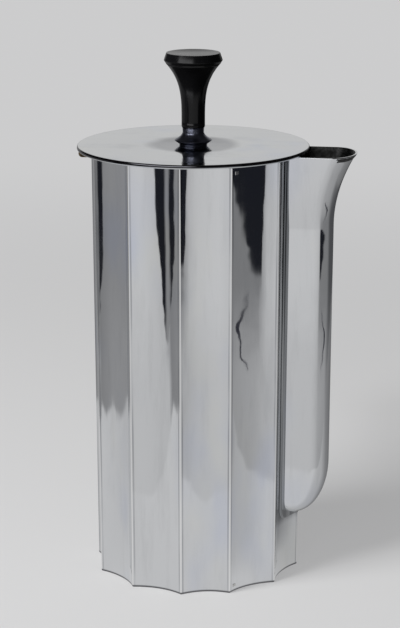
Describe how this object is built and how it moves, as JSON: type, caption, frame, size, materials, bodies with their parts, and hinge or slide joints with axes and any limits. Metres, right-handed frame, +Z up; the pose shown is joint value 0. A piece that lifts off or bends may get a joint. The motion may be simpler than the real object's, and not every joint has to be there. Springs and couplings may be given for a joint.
{
  "type": "coffee pot",
  "caption": "Tall fluted chrome coffee pot with a trough spout, hinged flat disc lid, black trumpet knob and straight side handle.",
  "frame": {"origin": "on the body's axis, in the plane of the bottom edge that it stands on", "axes": "+Z up, +X towards the spout, +Y along the handle, hinge on the -X side"},
  "size_m": [0.1065, 0.1921, 0.2015],
  "materials": {
    "chrome_plate": "polished chromium plate with light wear",
    "black_plastic": "turned and polished black phenolic",
    "hinge_brass": "darkened, tarnished brass",
    "fixing_brass": "plain turned brass",
    "fixing_steel": "nickelled steel"
  },
  "bodies": {
    "pot": {"body_shell": "chrome_plate", "base_plate": "chrome_plate", "mouth_ring": "chrome_plate", "spout": "chrome_plate", "hinge_bracket": "hinge_brass", "hinge_pin": "hinge_brass", "handle_boss": "chrome_plate", "handle_ferrule": "chrome_plate", "handle_grip": "black_plastic", "handle_stud": "fixing_steel", "handle_washer": "fixing_steel", "handle_nut": "chrome_plate"},
    "lid": {"hinge_lid_leaf": "hinge_brass", "lid_disc": "chrome_plate", "lid_collar": "chrome_plate", "knob_ferrule": "chrome_plate", "knob": "black_plastic", "knob_insert": "fixing_brass", "knob_washer": "fixing_steel", "knob_screw": "fixing_steel"}
  },
  "joints": [
    {"name": "lid_hinge", "type": "hinge", "parent": "pot", "child": "lid", "pos_m": [-0.04275, 0, 0.1633], "axis": [0, -1, 0], "range_deg": [0, 105]}
  ]
}
